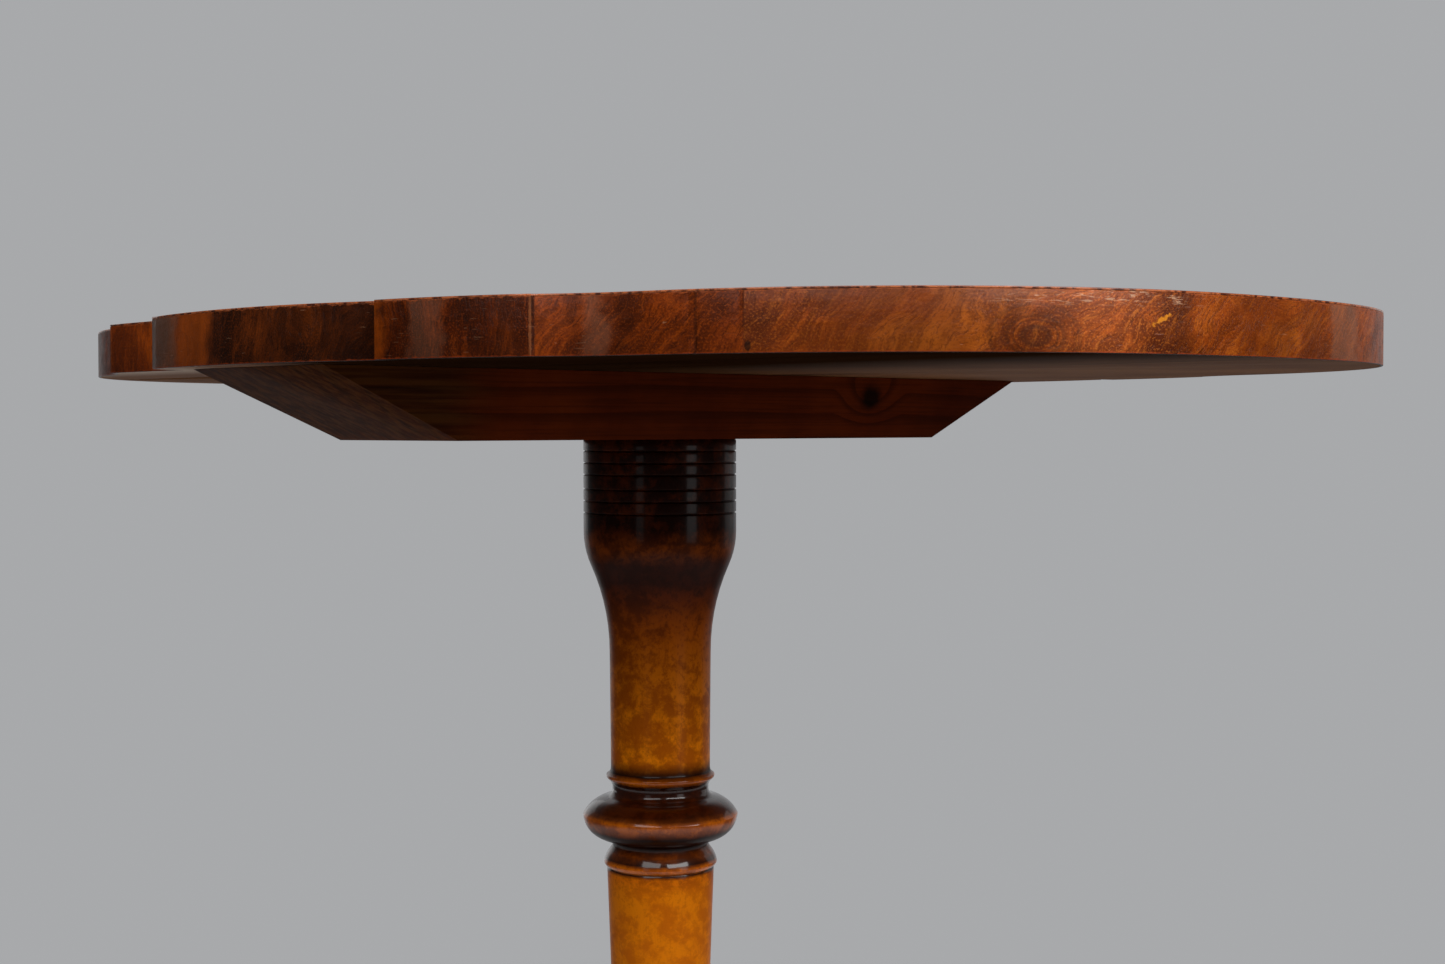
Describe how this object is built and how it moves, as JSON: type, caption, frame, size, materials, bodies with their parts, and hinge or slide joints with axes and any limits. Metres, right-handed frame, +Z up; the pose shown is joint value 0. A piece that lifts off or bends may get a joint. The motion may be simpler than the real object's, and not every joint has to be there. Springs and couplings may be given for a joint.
{
  "type": "tilt top table",
  "caption": "Occasional table with a scalloped oval veneered top that tilts upright on brass hinges over a turned column with three S-shaped legs.",
  "frame": {"origin": "on the floor, under the centre of the top's outline", "axes": "+Z up; +X along the top's long axis, towards the edge that lifts; +Y along the bearer block and the hinge line"},
  "size_m": [0.763, 0.58, 0.74],
  "materials": {
    "core_softwood": "unpolished, aged brown",
    "face_veneer": "shellac polish",
    "edge_veneer": "shellac polish, worn arris",
    "block_softwood": "dark stain, semi-matt",
    "column_birch": "stained and shellac polished",
    "leg_birch": "stained and shellac polished",
    "wedge_birch": "bare",
    "brass": "aged",
    "iron": "dark forged iron",
    "screw_steel": "dull"
  },
  "bodies": {
    "base": {"bearer_block": "block_softwood", "catch_cover": "brass", "catch_cover_screws": "brass", "column": "column_birch", "hinge_leaf_block_left": "brass", "hinge_leaf_block_right": "brass", "hinge_pin_left": "brass", "hinge_pin_right": "brass", "hinge_screws_block": "brass", "leg_back": "leg_birch", "leg_left": "leg_birch", "leg_right": "leg_birch", "spider_plate": "iron", "spider_plate_screws": "screw_steel", "tenon_wedge": "wedge_birch"},
    "top": {"catch_staple": "brass", "catch_staple_screws": "brass", "edge_back_1": "edge_veneer", "edge_back_2": "edge_veneer", "edge_back_3": "edge_veneer", "edge_back_4": "edge_veneer", "edge_front_1": "edge_veneer", "edge_front_2": "edge_veneer", "edge_front_3": "edge_veneer", "edge_front_4": "edge_veneer", "edge_left_lobe": "edge_veneer", "edge_left_tab_back": "edge_veneer", "edge_left_tab_front": "edge_veneer", "edge_right_lobe": "edge_veneer", "edge_right_tab_back": "edge_veneer", "edge_right_tab_front": "edge_veneer", "face_veneer_1": "face_veneer", "face_veneer_2": "face_veneer", "face_veneer_3": "face_veneer", "face_veneer_4": "face_veneer", "hinge_leaf_top_left": "brass", "hinge_leaf_top_right": "brass", "hinge_screws_top": "brass", "top_plank_1": "core_softwood", "top_plank_2": "core_softwood", "top_plank_3": "core_softwood", "top_plank_4": "core_softwood", "top_plank_5": "core_softwood"},
    "bolt": {"catch_bolt": "brass", "catch_knob": "brass"}
  },
  "joints": [
    {"name": "top_tilt", "type": "hinge", "parent": "base", "child": "top", "pos_m": [-0.0817, 0, 0.7139], "axis": [0, -1, 0], "range_deg": [0, 90]},
    {"name": "bolt_slide", "type": "slide", "parent": "base", "child": "bolt", "axis": [1, 0, 0], "range_m": [0, 0.01]}
  ]
}
